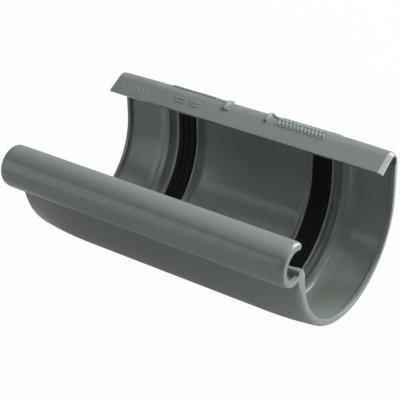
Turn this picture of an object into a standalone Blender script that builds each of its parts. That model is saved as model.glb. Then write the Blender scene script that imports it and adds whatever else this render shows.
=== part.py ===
"""Half-round gutter union in moulded PVC with two rubber seals.

X runs along the gutter, +Z is up, the bead roll stands towards -Y and the back wall faces +Y.
The origin is on the axis of the half-round trough, at mid-length. Metres.
"""
import bpy
import bmesh
import numpy as np
from math import cos, pi, radians, sin
from mathutils import Matrix

MM = 0.001

# Gutter that the union joins, and the room left around its outside
GUTTER_RADIUS = 37.8 * MM
LIP_CLEARANCE = 0.1 * MM
RIDGE_CLEARANCE = 0.2 * MM
RIB_CLEARANCE = 0.4 * MM
TIP_CLEARANCE = 1.2 * MM
SHELL_CLEARANCE = 3.0 * MM

# Overall shell
HALF_LENGTH = 75.3 * MM
WALL = 2.2 * MM
SHELL_INNER = GUTTER_RADIUS + SHELL_CLEARANCE
TROUGH_RADIUS = SHELL_INNER + WALL
TROUGH_STEPS = 24

# Narrowing of the shell towards both ends
NECK_DEPTH = 1.9 * MM
NECK_LENGTH = 30.0 * MM
NECK_POWER = 2.5
END_ROUNDING = 1.6 * MM
SOFT_END = 3.0 * MM
NECK_FRONT_ANGLE = 45.0
NECK_SHARES = (0.0, 0.4, 0.6, 0.77, 0.9)
ROUNDING_SHARES = (0.45, 0.1, 0.0)

# Lip inside each end
LIP_LENGTH = 1.9 * MM
LIP_FILLET = 1.8 * MM
FILLET_SHARES = (1.0, 0.6, 0.2, 0.0)

# Back wall and the hook at its top
BACK_WALL_HEIGHT = 16.7 * MM
BACK_WALL_STEPS = 2
HOOK_RADIUS = 7.0 * MM
HOOK_SWEEP = 118.0
HOOK_STEPS = 9
FLANGE_LENGTH = 9.0 * MM
FLANGE_SLANT = 0.6 * MM
FLANGE_EDGE = 0.4 * MM
HOOK_CHAMFER = 0.7 * MM
HOOK_CORNER_CHAMFER = 0.9 * MM
HOOK_CHAMFER_REACH = 2.1 * MM
HOOK_ROUNDING = 0.4 * MM
HOOK_BLEND_ANGLE = 95.0
HOOK_FLARE = 0.7 * MM
HOOK_END_WALL = 0.5 * MM

# Front wall tip and the bead roll
TIP_HEIGHT = 4.95 * MM
TIP_ROUND = 1.5 * MM
TIP_ROUND_SHARE = 0.46
TIP_INNER = GUTTER_RADIUS + TIP_CLEARANCE
TIP_CUT_DROP = 2.1 * MM
TIP_CUT_RISE = 1.4 * MM
TIP_CUT_HIGH = TIP_HEIGHT - TIP_CUT_DROP
TIP_CUT_LOW = TIP_CUT_HIGH - TIP_CUT_RISE
BEAD_OUT = 2.64 * MM
BEAD_Y = -TROUGH_RADIUS - BEAD_OUT
BEAD_Z = 9.59 * MM
BEAD_RADIUS = 10.0 * MM
BEAD_WALL = 2.3 * MM
BEAD_MOUTH_ANGLE = 68.5
BEAD_CREASE_ANGLE = 285.3
BEAD_INNER_CREASE_ANGLE = 288.5
BEAD_STEPS = 14
BEAD_END_INSET = 0.9 * MM
BEAD_LIP = 0.95 * MM

# Ribs and grooves inside, each followed by the next one towards mid-length
RIB_SINK = 0.7 * MM
SOCKET_DEPTH = 17.9 * MM
RAMP_LENGTH = 5.8 * MM
RIDGE_WIDTH = 2.4 * MM
GROOVE_SIDE = 1.2 * MM
GROOVE_WIDTH = 1.1 * MM
GROOVE_FILLET = 1.5 * MM
GROOVE_FLOOR = 0.3 * MM
OUTER_RIB_WIDTH = 2.2 * MM
CHANNEL_WIDTH = 10.3 * MM
INNER_RIB_WIDTH = 1.9 * MM
INNER_FILLET = 5.5 * MM
RAMP_FOOT = HALF_LENGTH - SOCKET_DEPTH
RIDGE_END = RAMP_FOOT - RAMP_LENGTH
RIDGE_START = RIDGE_END - RIDGE_WIDTH
GROOVE_END = RIDGE_START - GROOVE_SIDE
GROOVE_START = GROOVE_END - GROOVE_WIDTH
OUTER_RIB_END = GROOVE_START - GROOVE_FILLET
CHANNEL_END = OUTER_RIB_END - OUTER_RIB_WIDTH
CHANNEL_START = CHANNEL_END - CHANNEL_WIDTH
INNER_RIB_START = CHANNEL_START - INNER_RIB_WIDTH
INNER_RIB_FOOT = INNER_RIB_START - INNER_FILLET
RIB_FOOT_SINK = 0.1 * MM
RIB_TIP_DROP = 1.4 * MM
RIB_FRONT_HEIGHT = TIP_HEIGHT - RIB_TIP_DROP
RIB_HOOK_DROP = 1.2 * MM
RIB_BACK_HEIGHT = BACK_WALL_HEIGHT - RIB_HOOK_DROP
RIB_TURN = 0.4

# Seals in the channels
SEAL_GAP = 0.3 * MM
SEAL_RIDGE_HEIGHT = 0.4 * MM
SEAL_RIDGES = 3
SEAL_TIP_DROP = 1.9 * MM
SEAL_FRONT_HEIGHT = TIP_HEIGHT - SEAL_TIP_DROP
SEAL_HOOK_DROP = 1.5 * MM
SEAL_BACK_HEIGHT = BACK_WALL_HEIGHT - SEAL_HOOK_DROP

# Stop marks over the hook's corner
LEFT_STOP_X = -12.4 * MM
RIGHT_STOP_X = 10.6 * MM
STOP_WIDTH = 1.4 * MM
STOP_HEIGHT = 1.0 * MM
STOP_START = 32.0
STOP_END = 112.0
STOP_STEPS = 8


def smooth(t):
    t = min(max(t, 0.0), 1.0)
    return t * t * (3.0 - 2.0 * t)


def quarter_round(distance, length):
    """Inset from 0 to 1 over the last stretch before an end face, as a quarter ellipse."""
    t = min(max(1.0 - distance / length, 0.0), 1.0)
    return 1.0 - (1.0 - t * t) ** 0.5


def chamfer(distance, reach):
    """Inset from 0 to 1 that starts with an edge and steepens a little towards the end face."""
    t = min(max(1.0 - distance / reach, 0.0), 1.0)
    return t * (0.75 + 0.25 * t)


def arc(centre, radius, start, end, steps):
    angles = np.radians(np.linspace(start, end, steps + 1))
    return [(centre[0] + radius * cos(a), centre[1] + radius * sin(a)) for a in angles]


def neck(x):
    t = max(abs(x) - HALF_LENGTH + NECK_LENGTH, 0.0) / NECK_LENGTH
    return NECK_DEPTH * t ** NECK_POWER


def lip_share(x):
    """0 in the open shell, rising along a hollow curve to 1 at the end lip."""
    start = HALF_LENGTH - LIP_LENGTH - LIP_FILLET
    t = min(max((abs(x) - start) / LIP_FILLET, 0.0), 1.0)
    return 1.0 - (1.0 - t * t) ** 0.5


def clean_scene():
    for item in list(bpy.data.objects):
        bpy.data.objects.remove(item, do_unlink=True)


def new_collection(name):
    collection = bpy.data.collections.new(name)
    bpy.context.scene.collection.children.link(collection)
    return collection


def new_material(name, colour, roughness):
    material = bpy.data.materials.new(name)
    material.use_nodes = True
    shader = material.node_tree.nodes["Principled BSDF"]
    shader.inputs["Base Color"].default_value = (*colour, 1.0)
    shader.inputs["Roughness"].default_value = roughness
    return material


def add_object(name, bm, collection, material=None):
    bmesh.ops.recalc_face_normals(bm, faces=bm.faces)
    mesh = bpy.data.meshes.new(name)
    bm.to_mesh(mesh)
    bm.free()
    if material:
        mesh.materials.append(material)
    item = bpy.data.objects.new(name, mesh)
    collection.objects.link(item)
    return item


def trough_inner(x):
    lip_radius = GUTTER_RADIUS + LIP_CLEARANCE
    open_radius = SHELL_INNER - neck(x)
    return open_radius + (lip_radius - open_radius) * lip_share(x)


def shell_inset(x):
    """How far the shell's outside stands in from its full radius."""
    return neck(x) + END_ROUNDING * quarter_round(HALF_LENGTH - abs(x), END_ROUNDING)


def hook_inset(x, turn):
    """Inset of the hook's outside: the shell's at the back wall, the end's own at the flange.

    The left end is only rounded. The right end is chamfered, deeper round the corner.
    """
    end = HOOK_ROUNDING * quarter_round(HALF_LENGTH - abs(x), HOOK_ROUNDING)
    if x > 0.0:
        depth = HOOK_CHAMFER + HOOK_CORNER_CHAMFER * smooth((100.0 - turn) / 40.0)
        end = depth * chamfer(HALF_LENGTH - x, HOOK_CHAMFER_REACH)
    share = smooth(1.0 - turn / HOOK_BLEND_ANGLE)
    return shell_inset(x) * share + end * (1.0 - share)


def hook_inner(x, turn):
    """Inner radius of the hook: flares at the end faces, and leaves the end wall its least."""
    flare = HOOK_FLARE * quarter_round(HALF_LENGTH - abs(x), SOFT_END)
    least = HOOK_RADIUS - hook_inset(x, turn) - HOOK_END_WALL
    return min(HOOK_RADIUS - WALL + flare, least)


def hook_arc(x, inside):
    """Corner of the hook from the flange down to the back wall, on its outside or inside."""
    points = []
    for turn in np.linspace(HOOK_SWEEP, 0.0, HOOK_STEPS + 1):
        radius = hook_inner(x, turn) if inside else HOOK_RADIUS - hook_inset(x, turn)
        a = radians(turn)
        points.append((TROUGH_RADIUS - HOOK_RADIUS + radius * cos(a),
                       BACK_WALL_HEIGHT + radius * sin(a)))
    return points


def flange_point(level, out):
    """Point of the flange at a level square to it and a way out along it, from the hook's centre."""
    a = radians(HOOK_SWEEP)
    return (TROUGH_RADIUS - HOOK_RADIUS + level * cos(a) - out * sin(a),
            BACK_WALL_HEIGHT + level * sin(a) + out * cos(a))


def flange_edge(x):
    """Rounded and slanted edge of the flange, from its under face to just before its upper face."""
    upper = HOOK_RADIUS - hook_inset(x, HOOK_SWEEP)
    under = HOOK_RADIUS - WALL
    points = []
    for turn in (-90.0, -45.0, 0.0, 45.0):
        rise = sin(radians(turn))
        bulge = max(cos(radians(turn)), 0.0) ** 0.5
        level = (upper + under + (upper - under) * np.sign(rise) * abs(rise) ** 0.6) / 2.0
        out = FLANGE_LENGTH - FLANGE_EDGE * (1.0 - bulge) - FLANGE_SLANT * (1.0 - rise) / 2.0
        points.append(flange_point(level, out))
    return points


def hook_points(x):
    """Flange tip, hook corner and back wall on the outside, from the tip down."""
    points = hook_arc(x, False)
    upper = HOOK_RADIUS - hook_inset(x, HOOK_SWEEP)
    points.insert(0, flange_point(upper, FLANGE_LENGTH - FLANGE_EDGE))
    for height in np.linspace(BACK_WALL_HEIGHT, 0.0, BACK_WALL_STEPS + 1)[1:-1]:
        points.append((TROUGH_RADIUS - shell_inset(x), height))
    return points


def trough_points(x):
    """Outside of the half-round, from the back wall round to the bead's crease."""
    points = []
    for step in range(TROUGH_STEPS):
        turn = 180.0 * step / TROUGH_STEPS
        inset = shell_inset(x) * smooth((180.0 - turn) / NECK_FRONT_ANGLE)
        radius = TROUGH_RADIUS - inset
        points.append((radius * cos(radians(turn)), -radius * sin(radians(turn))))
    return points


def bead_points(x):
    """Bead roll: outside from the crease to the mouth, the rounded lip, then the inside."""
    centre = (BEAD_Y, BEAD_Z)
    outer = BEAD_RADIUS - BEAD_END_INSET * quarter_round(HALF_LENGTH - abs(x), SOFT_END)
    inner = BEAD_RADIUS - BEAD_WALL - BEAD_LIP * lip_share(x)
    half = (outer - inner) / 2.0
    a = radians(BEAD_MOUTH_ANGLE)
    middle = (centre[0] + (outer - half) * cos(a), centre[1] + (outer - half) * sin(a))
    points = arc(centre, outer, BEAD_CREASE_ANGLE, BEAD_MOUTH_ANGLE, BEAD_STEPS)
    points += arc(middle, half, BEAD_MOUTH_ANGLE, BEAD_MOUTH_ANGLE - 180.0, 4)[1:-1]
    points += arc(centre, inner, BEAD_MOUTH_ANGLE, BEAD_INNER_CREASE_ANGLE, BEAD_STEPS)
    return points


def inner_points(x):
    """Front wall tip, inside of the trough, back wall and hook, back to the flange tip."""
    radius = trough_inner(x)
    tip = max(TIP_INNER, radius)
    bend = min(TIP_ROUND, TIP_ROUND_SHARE * (TROUGH_RADIUS - tip))
    top = TIP_HEIGHT - bend
    points = arc((bend - TROUGH_RADIUS, top), bend, 180.0, 90.0, 2)
    points += arc((-tip - bend, top), bend, 90.0, 0.0, 2)
    points += [(-tip, TIP_CUT_HIGH), (-radius, TIP_CUT_LOW)]
    points += arc((0.0, 0.0), radius, 180.0, 360.0, TROUGH_STEPS)
    points.append((radius, RIB_BACK_HEIGHT))
    points += reversed(hook_arc(x, True))
    points += flange_edge(x)
    return points


def make_shell(collection, material):
    """Loft of the changing section along X, closed by a flat face at each end."""
    lip_face = HALF_LENGTH - LIP_LENGTH
    fillet_start = lip_face - LIP_FILLET
    neck_start = HALF_LENGTH - NECK_LENGTH
    side = [neck_start + share * (fillet_start - neck_start) for share in NECK_SHARES]
    side += [lip_face - share * LIP_FILLET for share in FILLET_SHARES]
    side += [HALF_LENGTH - share * END_ROUNDING for share in ROUNDING_SHARES]
    stations = [-x for x in reversed(side)] + side
    bm = bmesh.new()
    rings = []
    for x in stations:
        outline = hook_points(x) + trough_points(x) + bead_points(x) + inner_points(x)
        rings.append([bm.verts.new((x, y, z)) for y, z in outline])
    count = len(rings[0])
    for first, second in zip(rings, rings[1:]):
        for i in range(count):
            j = (i + 1) % count
            bm.faces.new((first[i], first[j], second[j], second[i]))
    bm.faces.new(rings[0])
    bm.faces.new(rings[-1])
    return add_object("union_body", bm, collection, material)


def make_hoop(name, profile, front, back, collection, material=None, turn=0.0):
    """Turn an (x, radius) profile half a turn under the gutter, with straight legs up.

    A small turn keeps the facet edges of a rib off those of the shell it is joined to.
    """
    bm = bmesh.new()
    corners = [bm.verts.new((x, -radius, front)) for x, radius in profile]
    face = bm.faces.new(corners)

    def lengthen(face, shift):
        made = bmesh.ops.extrude_face_region(bm, geom=[face])["geom"]
        moved = [g for g in made if isinstance(g, bmesh.types.BMVert)]
        bmesh.ops.translate(bm, verts=moved, vec=(0.0, 0.0, shift))
        return [g for g in made if isinstance(g, bmesh.types.BMFace)][0]

    first_seam = lengthen(face, -front)
    turned = bmesh.ops.spin(bm, geom=[first_seam], cent=(0.0, 0.0, 0.0), axis=(1.0, 0.0, 0.0),
                            angle=pi, steps=TROUGH_STEPS, use_duplicate=False)
    last_seam = [g for g in turned["geom_last"] if isinstance(g, bmesh.types.BMFace)][0]
    lengthen(last_seam, back)
    bmesh.ops.delete(bm, geom=[first_seam, last_seam], context="FACES_ONLY")
    bmesh.ops.rotate(bm, verts=bm.verts, matrix=Matrix.Rotation(radians(turn), 3, "X"))
    return add_object(name, bm, collection, material)


def hollow_curve(x_top, r_top, x_foot, r_foot, steps):
    """Points of a hollow quarter ellipse from a rib's top edge down to its foot on the wall."""
    points = []
    for step in range(steps + 1):
        a = pi / 2.0 * (1.0 - step / steps)
        x = x_foot + (x_top - x_foot) * sin(a)
        r = r_foot - (r_foot - r_top) * (1.0 - cos(a))
        points.append((x, r))
    return points


def inner_rib_profile():
    top = GUTTER_RADIUS + RIB_CLEARANCE
    root = SHELL_INNER + RIB_SINK
    foot = SHELL_INNER + RIB_FOOT_SINK
    points = [(INNER_RIB_FOOT, root), (CHANNEL_START, root), (CHANNEL_START, top)]
    points += hollow_curve(INNER_RIB_START, top, INNER_RIB_FOOT, foot, 5)
    return points


def outer_rib_profile():
    rib_top = GUTTER_RADIUS + RIB_CLEARANCE
    ridge_top = GUTTER_RADIUS + RIDGE_CLEARANCE
    floor = SHELL_INNER - GROOVE_FLOOR
    root = SHELL_INNER + RIB_SINK
    foot = SHELL_INNER + RIB_FOOT_SINK
    points = [(RAMP_FOOT, root), (CHANNEL_END, root), (CHANNEL_END, rib_top)]
    points += hollow_curve(OUTER_RIB_END, rib_top, GROOVE_START, floor, 3)
    points += reversed(hollow_curve(RIDGE_START, ridge_top, GROOVE_END, floor, 2))
    points += hollow_curve(RIDGE_END, ridge_top, RAMP_FOOT, foot, 5)
    return points


def seal_profile():
    """Rubber strip with soft ridges on the face that the gutter presses on."""
    start = CHANNEL_START + SEAL_GAP
    end = CHANNEL_END - SEAL_GAP
    back = SHELL_INNER - SEAL_GAP
    low = GUTTER_RADIUS + SEAL_RIDGE_HEIGHT
    pitch = (end - start) / SEAL_RIDGES
    points = [(end, back), (start, back)]
    for ridge in range(SEAL_RIDGES):
        foot = start + ridge * pitch
        points.append((foot + (0.0 if ridge == 0 else 0.05) * pitch, low))
        points.append((foot + 0.3 * pitch, GUTTER_RADIUS))
        points.append((foot + 0.7 * pitch, GUTTER_RADIUS))
    points.append((end, low))
    return points


def mirrored(profile, side):
    return [(side * x, radius) for x, radius in profile]


def make_stop_mark(name, x, collection):
    """Raised bar across the hook's corner: a crescent curve thickened along X."""
    centre = (TROUGH_RADIUS - HOOK_RADIUS, BACK_WALL_HEIGHT)
    points = []
    for step in range(STOP_STEPS + 1):
        t = step / STOP_STEPS
        a = radians(STOP_START + (STOP_END - STOP_START) * t)
        edge = min(t, 1.0 - t) * STOP_STEPS
        radius = HOOK_RADIUS + STOP_HEIGHT * (1.0 if edge >= 1.0 else 0.25)
        points.append((centre[0] + radius * cos(a), centre[1] + radius * sin(a)))
    points += arc(centre, HOOK_RADIUS - 0.6 * WALL, STOP_END, STOP_START, STOP_STEPS)
    curve = bpy.data.curves.new(name, "CURVE")
    curve.dimensions = "2D"
    curve.fill_mode = "BOTH"
    curve.extrude = STOP_WIDTH / 2.0
    spline = curve.splines.new("POLY")
    spline.points.add(len(points) - 1)
    for corner, (y, z) in zip(spline.points, points):
        corner.co = (y, z, 0.0, 1.0)
    spline.use_cyclic_u = True
    drawn = bpy.data.objects.new(name + "_curve", curve)
    collection.objects.link(drawn)
    bpy.context.view_layer.update()
    mesh = bpy.data.meshes.new_from_object(drawn)
    bpy.data.objects.remove(drawn, do_unlink=True)
    bm = bmesh.new()
    bm.from_mesh(mesh)
    bpy.data.meshes.remove(mesh)
    bmesh.ops.remove_doubles(bm, verts=bm.verts, dist=0.00001)
    for vert in bm.verts:
        y, z, along = vert.co
        vert.co = (x + along, y, z)
    return add_object(name, bm, collection)


def join_to(body, piece):
    """Join a moulded feature to the body so that both are one solid."""
    piece.hide_render = True
    piece.display_type = "WIRE"
    modifier = body.modifiers.new("join " + piece.name, "BOOLEAN")
    modifier.operation = "UNION"
    modifier.solver = "EXACT"
    modifier.object = piece


def apply_joins(body):
    bpy.context.view_layer.update()
    shape = body.evaluated_get(bpy.context.evaluated_depsgraph_get())
    mesh = bpy.data.meshes.new_from_object(shape)
    body.modifiers.clear()
    body.data = mesh


clean_scene()
parts = new_collection("gutter_union")
joined = new_collection("joined_features")
pvc = new_material("moulded_pvc", (0.27, 0.30, 0.27), 0.45)
rubber = new_material("epdm_seal", (0.012, 0.013, 0.013), 0.7)

body = make_shell(parts, pvc)
for side, word, stop_x in ((-1, "left", LEFT_STOP_X), (1, "right", RIGHT_STOP_X)):
    inner_rib = make_hoop("inner_rib_" + word, mirrored(inner_rib_profile(), side),
                          RIB_FRONT_HEIGHT, RIB_BACK_HEIGHT, joined, turn=RIB_TURN)
    outer_rib = make_hoop("outer_rib_" + word, mirrored(outer_rib_profile(), side),
                          RIB_FRONT_HEIGHT, RIB_BACK_HEIGHT, joined, turn=RIB_TURN)
    stop = make_stop_mark("stop_mark_" + word, stop_x, joined)
    for piece in (inner_rib, outer_rib, stop):
        join_to(body, piece)
    make_hoop("seal_" + word, mirrored(seal_profile(), side),
              SEAL_FRONT_HEIGHT, SEAL_BACK_HEIGHT, parts, rubber)
apply_joins(body)
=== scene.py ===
import bpy
import numpy as np
from mathutils import Euler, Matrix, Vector


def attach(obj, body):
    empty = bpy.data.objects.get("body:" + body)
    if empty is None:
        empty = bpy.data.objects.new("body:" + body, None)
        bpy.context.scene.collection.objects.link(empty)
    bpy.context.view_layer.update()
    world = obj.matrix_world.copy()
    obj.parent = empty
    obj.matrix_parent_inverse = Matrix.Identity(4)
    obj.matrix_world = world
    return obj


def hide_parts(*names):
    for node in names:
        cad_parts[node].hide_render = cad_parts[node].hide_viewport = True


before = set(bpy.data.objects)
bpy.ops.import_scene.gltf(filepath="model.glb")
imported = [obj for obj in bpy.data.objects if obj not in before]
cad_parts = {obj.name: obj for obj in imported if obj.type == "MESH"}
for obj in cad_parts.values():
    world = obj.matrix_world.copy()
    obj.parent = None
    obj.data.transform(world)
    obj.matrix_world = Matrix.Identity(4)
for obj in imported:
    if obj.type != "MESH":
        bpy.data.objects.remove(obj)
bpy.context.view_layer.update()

# Union body
# The one large piece: a grey rigid PVC injection moulding. A half-round shell holds the bead
# roll in front and the hooked wall behind. The seals are pressed into it afterwards.

# Sizes are in millimetres, from the trough's axis and from mid-length, and angles are in degrees.
MM = 0.001
GUTTER_RADIUS = 37.8
HALF_LENGTH = 75.3
WALL = 2.2
SHELL_INNER = GUTTER_RADIUS + 3.0
TROUGH_RADIUS = SHELL_INNER + WALL
ROUND_STEPS = 88
SHARP_ANGLE = 38.0

# The outside narrows towards both ends, except at the front, and is rounded at the end faces.
NECK_DEPTH, NECK_LENGTH, NECK_POWER = 1.9, 30.0, 2.5
NECK_FRONT_ANGLE = 45.0
FRONT_ROUNDING, CREASE_ANGLE = 2.8, 12.0
END_ROUNDING, SOFT_END = 1.6, 3.0
LEVEL_SHARE = 0.85

# Inside, from mid-length out: two ribs with the seal's channel between them, a groove, a ridge with
# its ramp, and the lip. They reach up the back wall as far as the hook needs room.
RIB_RADIUS, RIDGE_RADIUS = GUTTER_RADIUS + 0.4, GUTTER_RADIUS + 0.2
INNER_RIB_FOOT, INNER_RIB_START, INNER_RIB_END = 29.0, 31.6, 32.9
OUTER_RIB_START, OUTER_RIB_END = 43.2, 44.3
CHANNEL_CHAMFER = 0.4
GROOVE_START, GROOVE_END, GROOVE_RADIUS = 45.2, 46.6, SHELL_INNER - 0.3
RIDGE_START, RIDGE_END, RAMP_END = 48.9, 51.7, 57.4
FLANK_POWER = 1.25
RIB_BACK = 15.5
LIP_RADIUS = GUTTER_RADIUS + 0.1
LIP_LENGTH, LIP_FILLET = 1.9, 1.8
EDGE = 0.25

# The hook turns over the back wall's top, and its flange runs down into the trough. A blade has cut
# a chamfer along its right end.
WALL_TOP = 16.7
HOOK_RADIUS, HOOK_SWEEP = 7.0, 118.0
HOOK_BLEND_ANGLE, HOOK_START_ANGLE = 95.0, 60.0
HOOK_ROUNDING, HOOK_FLARE, HOOK_END_WALL = 0.4, 0.7, 0.5
FLANGE_LENGTH, FLANGE_SLANT = 9.0, 0.6
FLANGE_EDGE, FLANGE_EDGE_POWER = 0.4, 0.6
FACE_POINTS, CORNER_POINTS, EDGE_POINTS = 7, 29, 13
FLANGE_CHAMFER, CHAMFER_REACH, CHAMFER_CURVE = 0.7, 2.1, 0.25
CORNER_CHAMFER, CORNER_CHAMFER_ANGLE, CORNER_CHAMFER_RUN = 0.9, 100.0, 40.0
# Where the painted highlight on the chamfer starts along the cut, and how fast it fades round the corner.
HIGHLIGHT_START, HIGHLIGHT_FADE = 0.02, 2.7

# In front, the wall ends in a rounded tip, and the bead roll rises from its outside.
TIP_TOP, TIP_ROUND, TIP_ROUND_SHARE = 4.95, 1.5, 0.46
TIP_INNER = GUTTER_RADIUS + 1.2
TIP_STEPS, CUT_POINTS = 8, 7
CUT_HIGH, CUT_LOW = 2.85, 1.45
BEAD_Y, BEAD_Z = -TROUGH_RADIUS - 2.64, 9.59
BEAD_RADIUS, BEAD_WALL = 10.0, 2.3
BEAD_MOUTH, BEAD_CREASE, BEAD_INNER_CREASE = 68.5, 285.3, 288.5
BEAD_STEPS, BEAD_MOUTH_STEPS, BEAD_INNER_STEPS = 64, 12, 46
BEAD_END_INSET, BEAD_LIP = 0.9, 0.95


def rise(t):
    """0 to 1 with level ends: three times t squared less twice t cubed."""
    t = np.clip(t, 0.0, 1.0)
    return t * t * (3.0 - 2.0 * t)


def end_roll(distance, reach):
    """Quarter ellipse: 0 further than reach from the end face, 1 at the face."""
    t = np.clip(1.0 - distance / reach, 0.0, 1.0)
    return 1.0 - np.sqrt(1.0 - t * t)


def neck(x):
    """Narrowing of the shell: depth times the share of the neck's length to its power."""
    t = np.clip(np.abs(x) - HALF_LENGTH + NECK_LENGTH, 0.0, None) / NECK_LENGTH
    return NECK_DEPTH * t ** NECK_POWER


def lip_share(x):
    """0 in the open shell and 1 at the lip, along the hollow fillet of the lip's step."""
    return end_roll(HALF_LENGTH - LIP_LENGTH - np.abs(x), LIP_FILLET)


def tube_mesh(name, points):
    """Mesh over a grid of points in millimetres, rows along the piece and columns round it.

    The columns close into a ring, and a flat face ends the tube at each row end.
    """
    rows, columns = points.shape[:2]
    index = np.arange(rows * columns).reshape(rows, columns)
    after = np.roll(index, -1, axis=1)
    quads = np.stack([index[:-1], after[:-1], after[1:], index[1:]], axis=-1).reshape(-1, 4)
    faces = quads.tolist() + [index[0, ::-1].tolist(), index[-1].tolist()]
    mesh = bpy.data.meshes.new(name)
    mesh.from_pydata((points.reshape(-1, 3) * MM).tolist(), [], faces)
    mesh.validate()
    mesh.polygons.foreach_set("use_smooth", np.ones(len(mesh.polygons), dtype=bool))
    mesh.set_sharp_from_angle(angle=np.radians(SHARP_ANGLE))
    piece = bpy.data.objects.new(name, mesh)
    bpy.context.scene.collection.objects.link(piece)
    return piece


def sheet(x, y, z):
    """Points from three arrays that share rows (stations along X) and columns (round the section)."""
    return np.stack(np.broadcast_arrays(x, y, z), axis=-1)


def corner(x, radius, way_in, way_out, round_radius, points=5):
    """Quarter round at a rib's edge, from the direction way_in to way_out, in x and radius."""
    turn = np.linspace(0.0, np.pi / 2.0, points)
    centre = np.array([x, radius]) + round_radius * (np.array(way_out) - np.array(way_in))
    arm = np.outer(np.cos(turn), -np.array(way_out)) + np.outer(np.sin(turn), way_in)
    return centre + round_radius * arm


def hollow(x_top, r_top, x_foot, r_foot, steps=8):
    """Quarter ellipse that lies flat on the wall at its foot and stands upright at the rib's edge."""
    turn = np.linspace(0.0, np.pi / 2.0, steps + 1)
    x = x_foot + (x_top - x_foot) * np.sin(turn)
    return np.column_stack([x, r_foot - (r_foot - r_top) * (1.0 - np.cos(turn))])


def flank(x_top, r_top, x_foot, r_foot, steps=6):
    """Slanted side of a rib: its height goes as a power of the way's share from the foot."""
    share = np.linspace(0.0, 1.0, steps + 1)
    return np.column_stack([x_foot + (x_top - x_foot) * share,
                            r_foot - (r_foot - r_top) * share ** FLANK_POWER])


def bore_profile():
    """Inside of the shell from mid-length to the end lip, as (x, radius) points.

    The thin rib's slanted flank, the seal's channel, the thin outer rib, the groove, the main ridge
    with its flank, its ramp into the socket, the socket's necked wall and the step to the end lip.
    """
    up, down, on = (0.0, -1.0), (0.0, 1.0), (1.0, 0.0)
    channel_foot = SHELL_INNER - CHANNEL_CHAMFER
    lip_x = HALF_LENGTH - LIP_LENGTH
    socket_x = np.linspace(RAMP_END, lip_x - LIP_FILLET, 16)
    socket_r = SHELL_INNER - neck(socket_x)
    return np.concatenate([
        np.column_stack([np.linspace(0.0, INNER_RIB_FOOT - 1.0, 8), np.full(8, SHELL_INNER)]),
        flank(INNER_RIB_START, RIB_RADIUS + EDGE, INNER_RIB_FOOT, SHELL_INNER)[:-1],
        corner(INNER_RIB_START, RIB_RADIUS, up, on, EDGE),
        corner(INNER_RIB_END, RIB_RADIUS, on, down, EDGE),
        [[INNER_RIB_END, channel_foot], [INNER_RIB_END + CHANNEL_CHAMFER, SHELL_INNER]],
        [[OUTER_RIB_START - CHANNEL_CHAMFER, SHELL_INNER], [OUTER_RIB_START, channel_foot]],
        corner(OUTER_RIB_START, RIB_RADIUS, up, on, EDGE),
        corner(OUTER_RIB_END, RIB_RADIUS, on, down, EDGE),
        hollow(OUTER_RIB_END, RIB_RADIUS + EDGE, GROOVE_START, GROOVE_RADIUS)[-2::-1],
        flank(RIDGE_START, RIDGE_RADIUS + EDGE, GROOVE_END, GROOVE_RADIUS)[:-1],
        corner(RIDGE_START, RIDGE_RADIUS, up, on, EDGE),
        corner(RIDGE_END, RIDGE_RADIUS, on, down, EDGE),
        hollow(RIDGE_END, RIDGE_RADIUS + EDGE, RAMP_END, socket_r[0], steps=10)[-2:0:-1],
        np.column_stack([socket_x, socket_r])[:-1],
        hollow(lip_x, LIP_RADIUS + EDGE, socket_x[-1], socket_r[-1])[:-1],
        corner(lip_x, LIP_RADIUS, up, on, EDGE)])


def both_ways(half):
    """Mirror a column of stations to the other end, without doubling mid-length."""
    return np.concatenate([-half[:0:-1], half])


# Stations along X, as many for the outside as for the bore. The outside's lie mostly level with
# the bore's, and are drawn a little towards equal steps along the bore's profile.
bore_half = bore_profile()
bore_way = np.concatenate([[0.0], np.cumsum(np.hypot(*np.diff(bore_half, axis=0).T))])
edge_turn = np.linspace(0.0, np.pi / 2.0, 6)[1:]
lip_inner_x = np.concatenate([np.linspace(bore_half[-1, 0], HALF_LENGTH - EDGE, 7)[1:],
                              HALF_LENGTH - EDGE + EDGE * np.sin(edge_turn)])
lip_inner_r = np.concatenate([np.full(6, LIP_RADIUS), LIP_RADIUS + EDGE * (1.0 - np.cos(edge_turn))])
rounding_x = HALF_LENGTH - END_ROUNDING
outer_half = LEVEL_SHARE * bore_half[:, 0] + (1.0 - LEVEL_SHARE) * bore_way / bore_way[-1] * rounding_x
outer_half *= rounding_x / outer_half[-1]
outer_end = rounding_x + END_ROUNDING * np.sin(np.linspace(0.0, np.pi / 2.0, 12)[1:])

bore_x = both_ways(np.concatenate([bore_half[:, 0], lip_inner_x]))[:, None]
bore_r = np.concatenate([bore_half[:, 1], lip_inner_r])
bore_r = np.concatenate([bore_r[:0:-1], bore_r])[:, None]
out_x = both_ways(np.concatenate([outer_half, outer_end]))[:, None]
open_r = SHELL_INNER - neck(out_x)
open_r = open_r + (LIP_RADIUS - open_r) * lip_share(out_x)

# Insets of the outside: the neck and the end's rounding all round, and at the hook's own ends the
# blade's cut on the right, which deepens a little faster than evenly, and a rounding on the left.
to_end = HALF_LENGTH - np.abs(out_x)
shell_inset = neck(out_x) + END_ROUNDING * end_roll(to_end, END_ROUNDING)
cut_share = np.clip(1.0 - (HALF_LENGTH - out_x) / CHAMFER_REACH, 0.0, 1.0)
chamfer = cut_share * (1.0 - CHAMFER_CURVE + CHAMFER_CURVE * cut_share)
left_rounding = np.where(out_x < 0.0, HOOK_ROUNDING * end_roll(to_end, HOOK_ROUNDING), 0.0)
hook_y = TROUGH_RADIUS - HOOK_RADIUS
sweep = np.radians(HOOK_SWEEP)
flange_way = np.array([-np.sin(sweep), np.cos(sweep)])
flange_up = np.array([np.cos(sweep), np.sin(sweep)])


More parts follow.
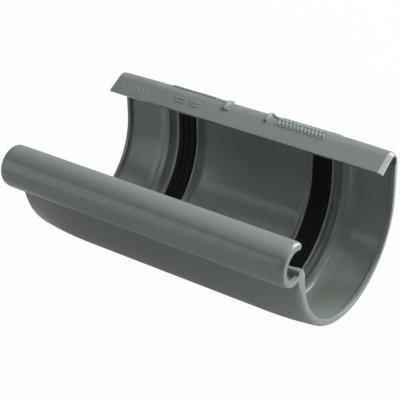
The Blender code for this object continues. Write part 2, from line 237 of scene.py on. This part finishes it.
def hook_radius(turn, inner):
    """Radius of the hook's corner: inset by the shell's neck at the wall, by its own end at the flange.

    The left end is only rounded, the right end is chamfered, deeper round the corner. The inside
    stands one wall further in, flares at the end faces and leaves the end wall its least. It
    starts from the bore's own wall, and leaves it over the start angle.
    """
    share = rise(1.0 - turn / HOOK_BLEND_ANGLE)
    depth = FLANGE_CHAMFER + CORNER_CHAMFER * rise((CORNER_CHAMFER_ANGLE - turn) / CORNER_CHAMFER_RUN)
    radius = HOOK_RADIUS - shell_inset * share - (left_rounding + chamfer * depth) * (1.0 - share)
    if inner:
        flare = HOOK_FLARE * end_roll(to_end, SOFT_END)
        free = np.minimum(HOOK_RADIUS - WALL + flare, radius - HOOK_END_WALL)
        return free + (open_r - hook_y - free) * rise(1.0 - turn / HOOK_START_ANGLE)
    return radius


def hook_corner(inner):
    """Corner of the hook: outside from the flange to the wall, inside from the wall to the flange."""
    turn = np.linspace(0.0, HOOK_SWEEP, CORNER_POINTS)
    turn = turn if inner else turn[::-1]
    radius = hook_radius(turn, inner)
    angle = np.radians(turn)
    return sheet(out_x, hook_y + radius * np.cos(angle), WALL_TOP + radius * np.sin(angle))


def flange_sheet(level, out):
    """Points of the flange at a level square to it and a way out along it, from the hook's centre."""
    return sheet(out_x, hook_y + flange_up[0] * level + flange_way[0] * out,
                 WALL_TOP + flange_up[1] * level + flange_way[1] * out)


def flange_edge(upper, under):
    """Flange's slanted edge across the thickness, from the under to the upper face.

    The share across runs as a sine. The edge's bulge is the fourth root of one less its square, and
    its level goes as a power of it.
    """
    across = np.sin(np.linspace(-np.pi / 2.0, np.pi / 2.0, EDGE_POINTS))
    bulge = (1.0 - across * across).clip(0.0) ** 0.25
    level_share = np.sign(across) * np.abs(across) ** FLANGE_EDGE_POWER
    level = (upper + under) / 2.0 + (upper - under) / 2.0 * level_share
    out = FLANGE_LENGTH - FLANGE_EDGE * (1.0 - bulge) - FLANGE_SLANT * (1.0 - across) / 2.0
    return flange_sheet(level, out)


def flange_face(start, end, length, outward):
    """Straight face of the flange between its levels at the corner and at the edge, run either way."""
    share = np.linspace(0.0, 1.0, FACE_POINTS + 2)[1:-1]
    share = share if outward else share[::-1]
    return flange_sheet(start + (end - start) * share, length * share)


def back_outside():
    """Back wall outside: straight down from the hook, with the shell's own inset."""
    return sheet(out_x, TROUGH_RADIUS - shell_inset, np.linspace(WALL_TOP, 0.0, 9)[1:-1])


def round_outside():
    """Half-round outside, from the back wall under the trough to the bead's crease.

    The shell's inset fades out over the front angle, and there the thicker end has a larger
    rounding of its own, which starts a little below the crease.
    """
    turn = np.linspace(0.0, 180.0, ROUND_STEPS + 1)[:-1]
    necked = rise((180.0 - turn) / NECK_FRONT_ANGLE)
    front = rise((180.0 - turn) / CREASE_ANGLE) * (1.0 - necked)
    rounding = FRONT_ROUNDING * end_roll(to_end, FRONT_ROUNDING)
    radius = TROUGH_RADIUS - shell_inset * necked - rounding * front
    angle = np.radians(turn)
    return sheet(out_x, radius * np.cos(angle), -radius * np.sin(angle))


def arc_points(centre_y, centre_z, radius, start, end, steps):
    """Section arc at every station: centre plus radius times cosine and sine of the angle."""
    angle = np.radians(np.linspace(start, end, steps + 1))
    return sheet(out_x, centre_y + radius * np.cos(angle), centre_z + radius * np.sin(angle))


def bead_roll():
    """Bead roll: outside arc, half-round lip at the mouth, then the inside arc to the wall tip."""
    outer = BEAD_RADIUS - BEAD_END_INSET * end_roll(to_end, SOFT_END)
    inner = BEAD_RADIUS - BEAD_WALL - BEAD_LIP * lip_share(out_x)
    mouth = np.radians(BEAD_MOUTH)
    middle, half = (outer + inner) / 2.0, (outer - inner) / 2.0
    lip_y, lip_z = BEAD_Y + middle * np.cos(mouth), BEAD_Z + middle * np.sin(mouth)
    outer_arc = arc_points(BEAD_Y, BEAD_Z, outer, BEAD_CREASE, BEAD_MOUTH, BEAD_STEPS)
    lip = arc_points(lip_y, lip_z, half, BEAD_MOUTH, BEAD_MOUTH - 180.0, BEAD_MOUTH_STEPS)
    inner_arc = arc_points(BEAD_Y, BEAD_Z, inner, BEAD_MOUTH, BEAD_INNER_CREASE, BEAD_INNER_STEPS)
    return np.concatenate([outer_arc, lip[:, 1:-1], inner_arc], axis=1)


def bore_and_tip():
    """Wall tip, the cut below it, the bore with its ribs, and the back wall up to the hook.

    The bore is drawn plain, then scaled from the axis to the ribs' own radius and stations. The
    share of the ribs grows with the root of the way down the cut, and is nil past their back end.
    """
    rows = len(open_r)
    tip = np.maximum(TIP_INNER, open_r)
    bend = np.minimum(TIP_ROUND, TIP_ROUND_SHARE * (TROUGH_RADIUS - tip))
    top = np.concatenate([
        arc_points(bend - TROUGH_RADIUS, TIP_TOP - bend, bend, 180.0, 90.0, TIP_STEPS),
        arc_points(-tip - bend, TIP_TOP - bend, bend, 90.0, 0.0, TIP_STEPS)], axis=1)
    cut = np.linspace(0.0, 1.0, CUT_POINTS)
    cut_y = -tip + (tip - open_r) * rise(cut)
    cut_z = np.broadcast_to(CUT_HIGH + (CUT_LOW - CUT_HIGH) * cut, (rows, CUT_POINTS))
    turn = np.radians(np.linspace(180.0, 360.0, ROUND_STEPS + 1))
    ribbed_back = np.linspace(0.0, RIB_BACK, 14)[1:]
    plain_back = np.linspace(RIB_BACK, WALL_TOP, 5)[1:-1]
    heights = np.concatenate([ribbed_back, plain_back])
    back_z = np.broadcast_to(heights, (rows, len(heights)))
    back_y = np.broadcast_to(open_r, back_z.shape)
    full = np.ones(len(turn) + len(ribbed_back))
    share = np.concatenate([np.sqrt(cut), full, np.zeros(len(plain_back))])
    plain_y = np.concatenate([cut_y, open_r * np.cos(turn), back_y], axis=1)
    plain_z = np.concatenate([cut_z, open_r * np.sin(turn), back_z], axis=1)
    lift = bore_r / open_r
    ribbed_y = plain_y * lift
    ribbed_z = np.concatenate([cut_z, open_r * np.sin(turn) * lift, back_z], axis=1)
    wall = sheet(out_x + (bore_x - out_x) * share, plain_y + (ribbed_y - plain_y) * share,
                 plain_z + (ribbed_z - plain_z) * share)
    return np.concatenate([top, wall], axis=1)


# The section in one ring of columns, from the flange's edge over the hook, down the outside and
# round the bead, and back along the inside to the flange's edge.
upper, under = hook_radius(HOOK_SWEEP, inner=False), hook_radius(HOOK_SWEEP, inner=True)
edge_under, face_length = HOOK_RADIUS - WALL, FLANGE_LENGTH - FLANGE_EDGE
body_points = np.concatenate([
    flange_face(upper, upper, face_length, outward=False), hook_corner(inner=False),
    back_outside(), round_outside(), bead_roll(), bore_and_tip(), hook_corner(inner=True),
    flange_face(under, edge_under, face_length - FLANGE_SLANT, outward=True),
    flange_edge(upper, edge_under)], axis=1)
shell = tube_mesh("moulded_shell", body_points)

# Painted highlight on the chamfer at the hook's right end: all of the flange and its edge, fading out
# round the corner. On the end face it takes in the flange's under side and most of the corner's inside.
chamfer_highlight = np.zeros(body_points.shape[:2])
chamfer_highlight[:, :FACE_POINTS], chamfer_highlight[:, -EDGE_POINTS:] = 1.0, 1.0
fade = rise(1.0 - HIGHLIGHT_FADE * np.linspace(0.0, 1.0, CORNER_POINTS))
chamfer_highlight[:, FACE_POINTS:FACE_POINTS + CORNER_POINTS] = fade
chamfer_highlight[cut_share[:, 0] < HIGHLIGHT_START] = 0.0
chamfer_highlight[-1, -EDGE_POINTS - CORNER_POINTS:-EDGE_POINTS] = 1.0
shell.data.attributes.new("chamfer_highlight", "FLOAT", "POINT").data.foreach_set("value", chamfer_highlight.ravel())


def linear(code):
    """Linear colour from an sRGB hex code, by the standard's own curve."""
    levels = np.array([int(code[i:i + 2], 16) / 255.0 for i in (1, 3, 5)])
    low, high = levels / 12.92, ((levels + 0.055) / 1.055) ** 2.4
    return (*np.where(levels <= 0.04045, low, high).tolist(), 1.0)


def add(tree, kind, settings=None, **links):
    """Add one node, set its values and link its named inputs."""
    node = tree.nodes.new(kind)
    for key, value in (settings or {}).items():
        if hasattr(node, key):
            setattr(node, key, value)
        else:
            node.inputs[key].default_value = value
    for key, source in links.items():
        tree.links.new(source, node.inputs[key.replace("_", " ")])
    return node


def blend(tree, factor, low, high):
    """Colour mixed by a factor's output from one colour to another, each a hex code or an output."""
    node = add(tree, "ShaderNodeMix", {"data_type": "RGBA"}, Factor=factor)
    # A Mix node has a pair of inputs for each kind of value: 6 and 7 are the two colours.
    for place, colour in ((6, low), (7, high)):
        if isinstance(colour, str):
            node.inputs[place].default_value = linear(colour)
        else:
            tree.links.new(colour, node.inputs[place])
    return node.outputs[2]


def rigid_pvc():
    """Rigid PVC, through-coloured grey: even, with the faint clouding of flow and a satin skin.

    The clouding is about 20 mm across. The skin carries draw lines along the length, a little
    over a millimetre apart, and a fine grain of a third of a millimetre. The polished mould leaves
    a thin gloss on top. Along the chamfer at the hook's right end a paler grey is painted on as a
    highlight, and the skin there is rougher.
    """
    material = bpy.data.materials.new("moulded_grey_pvc")
    material.use_nodes = True
    tree = material.node_tree
    shader = tree.nodes["Principled BSDF"]
    place = add(tree, "ShaderNodeTexCoord").outputs["Object"]
    cloud = add(tree, "ShaderNodeTexNoise", {"Scale": 1.0 / 0.020, "Detail": 3.0}, Vector=place)
    # Painted highlight: a paler grey on the chamfer at the hook's right end, which is also made rougher.
    highlight_share = add(tree, "ShaderNodeAttribute", {"attribute_name": "chamfer_highlight"}).outputs["Fac"]
    moulded_tone = blend(tree, cloud.outputs["Fac"], "#757e78", "#7b837d")
    tree.links.new(blend(tree, highlight_share, moulded_tone, "#aab0aa"), shader.inputs["Base Color"])
    line_scale = (1.0 / 0.080, 1.0 / 0.0012, 1.0 / 0.0012)
    drawn = add(tree, "ShaderNodeMapping", {"Scale": line_scale}, Vector=place)
    lines = add(tree, "ShaderNodeTexNoise", {"Scale": 1.0, "Detail": 2.0}, Vector=drawn.outputs["Vector"])
    grain = add(tree, "ShaderNodeTexNoise", {"Scale": 1.0 / 0.00035, "Detail": 2.0}, Vector=place)
    satin = add(tree, "ShaderNodeMapRange", {"To Min": 0.28, "To Max": 0.34}, Value=cloud.outputs["Fac"])
    duller = add(tree, "ShaderNodeMath", {"operation": "MULTIPLY_ADD"})
    tree.links.new(highlight_share, duller.inputs[0])
    duller.inputs[1].default_value = 0.5
    tree.links.new(satin.outputs["Result"], duller.inputs[2])
    tree.links.new(duller.outputs[0], shader.inputs["Roughness"])
    skin = add(tree, "ShaderNodeBump", {"Distance": 0.00002, "Strength": 0.3}, Height=lines.outputs["Fac"])
    skin = add(tree, "ShaderNodeBump", {"Distance": 0.000005, "Strength": 0.2},
               Height=grain.outputs["Fac"], Normal=skin.outputs["Normal"])
    tree.links.new(skin.outputs["Normal"], shader.inputs["Normal"])
    shader.inputs["IOR"].default_value = 1.53
    shader.inputs["Coat Weight"].default_value = 0.35
    shader.inputs["Coat Roughness"].default_value = 0.08
    return material


pvc = rigid_pvc()
shell.data.materials.append(pvc)
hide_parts("union_body")
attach(shell, "root")

# Moulded marks
# Raised on the hook in the same shot as the body, of the same PVC: two stop bars for the gutter
# ends, low panels beside them, and rows of plain ticks and dots.

MARK_SINK, MARK_RIM = 0.15, 0.35
STOP_BACK, STOP_FRONT, STOP_HEIGHT = -5.0, 4.0, 1.0
TICK_WIDTH, TICK_HEIGHT, FAINT_HEIGHT = 0.6, 0.3, 0.06
DOT_WAYS, DOT_WIDTH, DOT_HEIGHT = (5.3, 7.1), 1.0, 0.4


def on_hook(x, way, level):
    """Points over the hook's outside: way in mm from its crest to the flange, level above it.

    The way runs round the corner's arc up to its sweep, and then straight down the flange.
    """
    turn = np.minimum(np.pi / 2.0 + way / HOOK_RADIUS, sweep)
    straight = np.maximum(way - HOOK_RADIUS * (sweep - np.pi / 2.0), 0.0)
    y = hook_y + (HOOK_RADIUS + level) * np.cos(turn) + flange_way[0] * straight
    z = WALL_TOP + (HOOK_RADIUS + level) * np.sin(turn) + flange_way[1] * straight
    return np.stack([x, y, z], axis=-1)


def rounded_run(half, rim):
    """Places from -half to half, close together at both rims, and their level: a quarter round."""
    turn = np.linspace(0.0, np.pi / 2.0, 5)
    left = rim * (1.0 - np.cos(turn)) - half
    flat = np.linspace(rim - half, half - rim, 9)[1:-1]
    level = np.concatenate([np.sin(turn), np.ones(len(flat)), np.sin(turn[::-1])])
    return np.concatenate([left, flat, -left[::-1]]), level


def raised_bar(start, end, width, height):
    """Bar between two (x, way) points: flat on top, with its rims rounded down to under the skin."""
    start, end = np.array(start), np.array(end)
    length = np.hypot(*(end - start))
    run = (end - start) / length
    side = np.array([-run[1], run[0]])
    rim = min(MARK_RIM, width / 4.0)
    along, along_level = rounded_run(length / 2.0, rim)
    across, across_level = rounded_run(width / 2.0, rim)
    dome = along_level[:, None] * across_level[None, :]
    flat = (start + end) / 2.0 + along[:, None, None] * run + across[None, :, None] * side
    return on_hook(flat[..., 0], flat[..., 1], (height + MARK_SINK) * dome - MARK_SINK)


def zigzag(start_x, end_x, count, top, foot, height):
    """Row of equal ticks between two ways that lean one way and the other in turn, along X."""
    knots = np.linspace(start_x, end_x, count + 1)
    ways = np.where(np.arange(count + 1) % 2 == 0, foot, top)
    return [raised_bar((knots[k], ways[k]), (knots[k + 1], ways[k + 1]), TICK_WIDTH, height)
            for k in range(count)]


def dots(start_x, end_x, count):
    """Two rows of round-shouldered dots, evenly spaced along X."""
    half = DOT_WIDTH / 2.0
    return [raised_bar((x - half, way), (x + half, way), DOT_WIDTH, DOT_HEIGHT)
            for way in DOT_WAYS for x in np.linspace(start_x, end_x, count)]


def marks_mesh(name, bars):
    """One mesh of several raised bars, each a grid of the same size."""
    mesh = bpy.data.meshes.new(name)
    points, faces = [], []
    for bar in bars:
        rows, columns = bar.shape[:2]
        index = len(points) + np.arange(rows * columns).reshape(rows, columns)
        quads = np.stack([index[:-1, :-1], index[:-1, 1:], index[1:, 1:], index[1:, :-1]], axis=-1)
        faces += quads.reshape(-1, 4).tolist()
        points += (bar.reshape(-1, 3) * MM).tolist()
    mesh.from_pydata(points, [], faces)
    mesh.polygons.foreach_set("use_smooth", np.ones(len(mesh.polygons), dtype=bool))
    piece = bpy.data.objects.new(name, mesh)
    bpy.context.scene.collection.objects.link(piece)
    mesh.materials.append(pvc)
    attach(piece, "root")


marks_mesh("stop_bar_left", [raised_bar((-12.9, STOP_BACK), (-12.7, STOP_FRONT), 1.9, STOP_HEIGHT),
                             raised_bar((-12.9, STOP_FRONT), (-9.6, 3.8), 1.1, STOP_HEIGHT / 2.0)])
marks_mesh("stop_bar_right", [raised_bar((10.2, STOP_BACK), (10.5, STOP_FRONT), 1.5, STOP_HEIGHT)])
marks_mesh("low_panels", [raised_bar((-46.0, -4.5), (-20.0, -4.5), 7.0, 0.5),
                          raised_bar((-20.5, -4.6), (-13.5, -4.6), 8.4, 0.3),
                          raised_bar((11.0, -2.2), (16.4, 0.3), 0.7, 0.5),
                          raised_bar((16.0, -5.9), (47.0, -5.9), 6.0, 0.25)])
marks_mesh("block_marks", zigzag(16.0, 41.5, 26, -2.2, 0.7, TICK_HEIGHT)
           + zigzag(16.0, 41.5, 26, 1.4, 4.4, TICK_HEIGHT))
marks_mesh("pair_marks", dots(-39.0, -34.2, 4) + dots(-30.8, -26.0, 4))
marks_mesh("faint_marks", zigzag(-72.0, -54.0, 12, 6.0, 9.4, FAINT_HEIGHT))

# Seals
# Two EPDM rubber strips with soft ridges, pressed into the channels between the ribs.
# They stand a little prouder than the ribs, so that the gutter squeezes them.


def epdm_rubber():
    """EPDM rubber: near black with a dull skin, and a bloom of fine grain 0.4 mm across."""
    material = bpy.data.materials.new("epdm_rubber")
    material.use_nodes = True
    tree = material.node_tree
    shader = tree.nodes["Principled BSDF"]
    place = add(tree, "ShaderNodeTexCoord").outputs["Object"]
    grain = add(tree, "ShaderNodeTexNoise", {"Scale": 1.0 / 0.0004, "Detail": 2.0}, Vector=place)
    tree.links.new(blend(tree, grain.outputs["Fac"], "#0a0c0b", "#0f1110"), shader.inputs["Base Color"])
    shader.inputs["Roughness"].default_value = 0.7
    shader.inputs["Specular IOR Level"].default_value = 0.2
    return material


rubber = epdm_rubber()
for name in ("seal_left", "seal_right"):
    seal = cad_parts[name]
    seal.data.materials.clear()
    seal.data.materials.append(rubber)

# Studio
# A white paper floor and white air, which the camera sees in full and the gloss in part. A soft
# lamp behind the part gives the main light, with weaker ones overhead, on the right and in front.

FLOOR_REACH = 3.0
LAMP_DISTANCE = 1.3


def white_seen(tree, camera, gloss, rest):
    """Share of plain white, by kind of ray: camera, then glossy and transmission, then the rest."""
    rays = add(tree, "ShaderNodeLightPath").outputs
    total = rest
    shares = (("Is Camera Ray", camera), ("Is Glossy Ray", gloss), ("Is Transmission Ray", gloss))
    for ray, share in shares:
        step = add(tree, "ShaderNodeMath", {"operation": "MULTIPLY_ADD"})
        tree.links.new(rays[ray], step.inputs[0])
        step.inputs[1].default_value = share - rest
        if total is rest:
            step.inputs[2].default_value = rest
        else:
            tree.links.new(total, step.inputs[2])
        total = step.outputs[0]
    return total


stage_mesh = bpy.data.meshes.new("studio_floor")
floor_z = -TROUGH_RADIUS * MM
floor_corners = [(-FLOOR_REACH, -FLOOR_REACH, floor_z), (FLOOR_REACH, -FLOOR_REACH, floor_z),
                 (FLOOR_REACH, FLOOR_REACH, floor_z), (-FLOOR_REACH, FLOOR_REACH, floor_z)]
stage_mesh.from_pydata(floor_corners, [], [(0, 1, 2, 3)])
floor = bpy.data.objects.new("studio_floor", stage_mesh)
bpy.context.scene.collection.objects.link(floor)
white = bpy.data.materials.new("white_paper")
white.use_nodes = True
tree = white.node_tree
paper = tree.nodes["Principled BSDF"]
paper.inputs["Base Color"].default_value = linear("#bcbcbc")
paper.inputs["Roughness"].default_value = 1.0
paper.inputs["Specular IOR Level"].default_value = 0.0
glow = add(tree, "ShaderNodeEmission", {"Color": (1.0, 1.0, 1.0, 1.0), "Strength": 1.0})
mix = add(tree, "ShaderNodeMixShader")
tree.links.new(white_seen(tree, camera=0.97, gloss=0.2, rest=0.0), mix.inputs[0])
tree.links.new(paper.outputs[0], mix.inputs[1])
tree.links.new(glow.outputs[0], mix.inputs[2])
tree.links.new(mix.outputs[0], tree.nodes["Material Output"].inputs["Surface"])
stage_mesh.materials.append(white)

world = bpy.data.worlds.new("studio_air")
bpy.context.scene.world = world
world.use_nodes = True
tree = world.node_tree
air = tree.nodes["Background"]
air.inputs["Color"].default_value = (1.0, 1.0, 1.0, 1.0)
tree.links.new(white_seen(tree, camera=1.0, gloss=0.2, rest=0.03), air.inputs["Strength"])


def soft_lamp(name, azimuth, height, size, power):
    """Square soft lamp that looks at the part, at an azimuth from +X and a height in degrees."""
    turn, up = np.radians(azimuth), np.radians(height)
    place = Vector((np.cos(turn) * np.cos(up), np.sin(turn) * np.cos(up), np.sin(up))) * LAMP_DISTANCE
    lamp = bpy.data.lights.new(name, "AREA")
    lamp.size = size
    lamp.energy = power
    item = bpy.data.objects.new(name, lamp)
    item.location = place
    item.rotation_euler = (-place).to_track_quat("-Z", "Y").to_euler()
    bpy.context.scene.collection.objects.link(item)


soft_lamp("lamp_behind", 67.5, 35.0, 1.0, 28.0)
soft_lamp("lamp_right", 20.0, 20.0, 1.0, 9.0)
soft_lamp("lamp_overhead", 0.0, 88.0, 1.8, 9.0)
soft_lamp("lamp_front_left", 225.0, 12.0, 1.0, 3.5)

# Camera
# A pinhole camera, fitted together with the section's sizes to the photograph's outlines. It looks
# down on the front right end and is a little rolled. Its place is in metres, its lens in millimetres.

CAMERA_PLACE, LENS, SENSOR_WIDTH = (0.304474, -0.430695, 0.307021), 120.22, 36.0
LOOK_DOWN, CAMERA_TURN, CAMERA_ROLL = 30.763, 35.62, -0.98

camera = bpy.data.cameras.new("camera")
camera.sensor_width = SENSOR_WIDTH
camera.lens = LENS
camera_item = bpy.data.objects.new("camera", camera)
camera_item.location = CAMERA_PLACE
turn_up = Euler((np.radians(90.0 - LOOK_DOWN), 0.0, np.radians(CAMERA_TURN))).to_matrix()
roll = Euler((0.0, 0.0, np.radians(CAMERA_ROLL))).to_matrix()
camera_item.rotation_euler = (turn_up @ roll).to_euler()
bpy.context.scene.collection.objects.link(camera_item)
bpy.context.scene.camera = camera_item

bpy.context.scene.view_settings.view_transform = "Standard"
bpy.context.view_layer.update()
